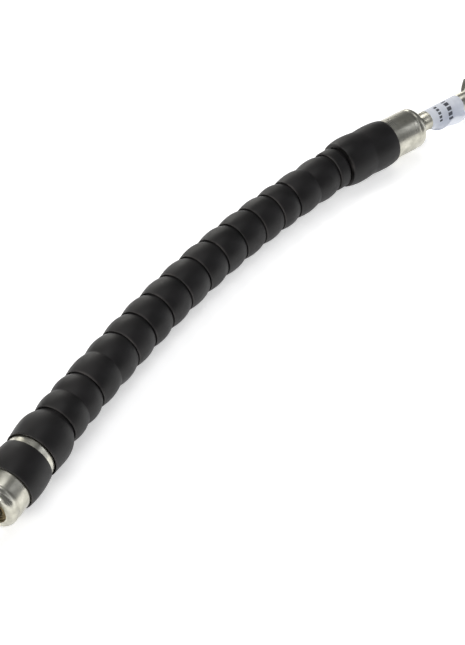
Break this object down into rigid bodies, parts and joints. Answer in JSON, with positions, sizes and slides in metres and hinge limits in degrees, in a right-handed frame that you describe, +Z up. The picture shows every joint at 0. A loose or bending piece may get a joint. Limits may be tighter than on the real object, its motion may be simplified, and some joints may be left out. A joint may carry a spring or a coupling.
{
  "type": "hydraulic hose assembly",
  "caption": "Armoured hydraulic hose: wire-braided hose in a chain of overlapping beads, with crimped ferrules and steel tube ends that carry swivel nuts.",
  "frame": {"origin": "middle of the footprint, on the surface the hose lies on", "axes": "+X from the near end to the far end, +Z up; the hose bows to +Y"},
  "size_m": [0.4496, 0.0576, 0.0252],
  "materials": {
    "armour_plastic": "moulded, satin",
    "hose_rubber": "smooth extruded rubber",
    "braid_wire": "braided wire",
    "plated_steel": "satin plated",
    "braze_brass": "dull braze",
    "nut_steel": "dark phosphate",
    "label_film": "blank film"
  },
  "bodies": {
    "near_end": {"near_ferrule": "plated_steel", "near_stem": "plated_steel", "near_braze_ring": "braze_brass", "near_tube": "plated_steel", "hose_liner": "hose_rubber", "hose_braid": "braid_wire", "hose_cover": "hose_rubber"},
    "end_collar": {"near_collar": "armour_plastic"},
    "bead_02": {"bead_02": "armour_plastic"},
    "bead_03": {"bead_03": "armour_plastic"},
    "bead_04": {"bead_04": "armour_plastic"},
    "bead_05": {"bead_05": "armour_plastic"},
    "bead_06": {"bead_06": "armour_plastic"},
    "bead_07": {"bead_07": "armour_plastic"},
    "bead_08": {"bead_08": "armour_plastic"},
    "bead_09": {"bead_09": "armour_plastic"},
    "bead_10": {"bead_10": "armour_plastic"},
    "bead_11": {"bead_11": "armour_plastic"},
    "bead_12": {"bead_12": "armour_plastic"},
    "bead_13": {"bead_13": "armour_plastic"},
    "bead_14": {"bead_14": "armour_plastic"},
    "bead_15": {"bead_15": "armour_plastic"},
    "far_end": {"far_ferrule": "plated_steel", "far_stem": "plated_steel", "far_braze_ring": "braze_brass", "far_tube": "plated_steel", "far_collar": "armour_plastic", "tube_label": "label_film"},
    "near_sleeve": {"near_sleeve": "plated_steel"},
    "near_nut": {"near_nut": "nut_steel"},
    "far_sleeve": {"far_sleeve": "plated_steel"},
    "far_nut": {"far_nut": "nut_steel"}
  },
  "joints": [
    {"name": "bead_02_rock", "type": "hinge", "parent": "near_end", "child": "bead_02", "pos_m": [-0.12798, 0.00064, 0.0123], "axis": [0, 0, 1], "range_deg": [-2.5, 5], "stiffness_Nm_per_rad": 45, "deforming": ["hose_liner", "hose_braid", "hose_cover"]},
    {"name": "bead_03_rock", "type": "hinge", "parent": "bead_02", "child": "bead_03", "pos_m": [-0.10995, 0.0043, 0.0123], "axis": [0, 0, 1], "range_deg": [-2.5, 5], "stiffness_Nm_per_rad": 24},
    {"name": "bead_04_rock", "type": "hinge", "parent": "bead_03", "child": "bead_04", "pos_m": [-0.08722, 0.0084, 0.01158], "axis": [0, 0, 1], "range_deg": [-2.5, 5], "stiffness_Nm_per_rad": 19},
    {"name": "bead_05_rock", "type": "hinge", "parent": "bead_04", "child": "bead_05", "pos_m": [-0.05894, 0.01258, 0.011], "axis": [0, 0, 1], "range_deg": [-2.5, 5], "stiffness_Nm_per_rad": 23},
    {"name": "bead_06_rock", "type": "hinge", "parent": "bead_05", "child": "bead_06", "pos_m": [-0.04494, 0.01423, 0.011], "axis": [0, 0, 1], "range_deg": [-2.5, 5], "stiffness_Nm_per_rad": 35},
    {"name": "bead_07_rock", "type": "hinge", "parent": "bead_06", "child": "bead_07", "pos_m": [-0.0306, 0.01563, 0.011], "axis": [0, 0, 1], "range_deg": [-2.5, 5], "stiffness_Nm_per_rad": 34},
    {"name": "bead_08_rock", "type": "hinge", "parent": "bead_07", "child": "bead_08", "pos_m": [-0.01574, 0.01673, 0.011], "axis": [0, 0, 1], "range_deg": [-2.5, 5], "stiffness_Nm_per_rad": 33},
    {"name": "bead_09_rock", "type": "hinge", "parent": "bead_08", "child": "bead_09", "pos_m": [-0.00056, 0.01748, 0.011], "axis": [0, 0, 1], "range_deg": [-2.5, 5], "stiffness_Nm_per_rad": 34},
    {"name": "bead_10_rock", "type": "hinge", "parent": "bead_09", "child": "bead_10", "pos_m": [0.01393, 0.01781, 0.011], "axis": [0, 0, 1], "range_deg": [-2.5, 5], "stiffness_Nm_per_rad": 34},
    {"name": "bead_11_rock", "type": "hinge", "parent": "bead_10", "child": "bead_11", "pos_m": [0.02883, 0.01776, 0.011], "axis": [0, 0, 1], "range_deg": [-2.5, 5], "stiffness_Nm_per_rad": 34},
    {"name": "bead_12_rock", "type": "hinge", "parent": "bead_11", "child": "bead_12", "pos_m": [0.04373, 0.01728, 0.011], "axis": [0, 0, 1], "range_deg": [-2.5, 5], "stiffness_Nm_per_rad": 34},
    {"name": "bead_13_rock", "type": "hinge", "parent": "bead_12", "child": "bead_13", "pos_m": [0.0581, 0.01639, 0.011], "axis": [0, 0, 1], "range_deg": [-2.5, 5], "stiffness_Nm_per_rad": 36},
    {"name": "bead_14_rock", "type": "hinge", "parent": "bead_13", "child": "bead_14", "pos_m": [0.07104, 0.01522, 0.01119], "axis": [0, 0, 1], "range_deg": [-2.5, 5], "stiffness_Nm_per_rad": 23},
    {"name": "bead_15_rock", "type": "hinge", "parent": "bead_14", "child": "bead_15", "pos_m": [0.10064, 0.01112, 0.01241], "axis": [0, 0, 1], "range_deg": [-2.5, 5], "stiffness_Nm_per_rad": 26},
    {"name": "far_end_rock", "type": "hinge", "parent": "bead_15", "child": "far_end", "pos_m": [0.1088, 0.00962, 0.0126], "axis": [0, 0, 1], "range_deg": [-2.5, 5], "stiffness_Nm_per_rad": 29},
    {"name": "collar_slide", "type": "slide", "parent": "near_end", "child": "end_collar", "axis": [0.9781, 0.2079, 0], "range_m": [-0.01, 0.002]},
    {"name": "near_sleeve_slide", "type": "slide", "parent": "near_end", "child": "near_sleeve", "axis": [0.9781, 0.2079, 0], "range_m": [0, 0.04]},
    {"name": "near_nut_turn", "type": "hinge", "parent": "near_sleeve", "child": "near_nut", "pos_m": [-0.21601, -0.01807, 0.0123], "axis": [-0.9781, -0.2079, 0], "continuous": true},
    {"name": "far_sleeve_slide", "type": "slide", "parent": "far_end", "child": "far_sleeve", "axis": [-0.9731, 0.2303, 0], "range_m": [0, 0.011]},
    {"name": "far_nut_turn", "type": "hinge", "parent": "far_sleeve", "child": "far_nut", "pos_m": [0.21584, -0.01572, 0.0126], "axis": [0.9731, -0.2303, 0], "continuous": true}
  ]
}
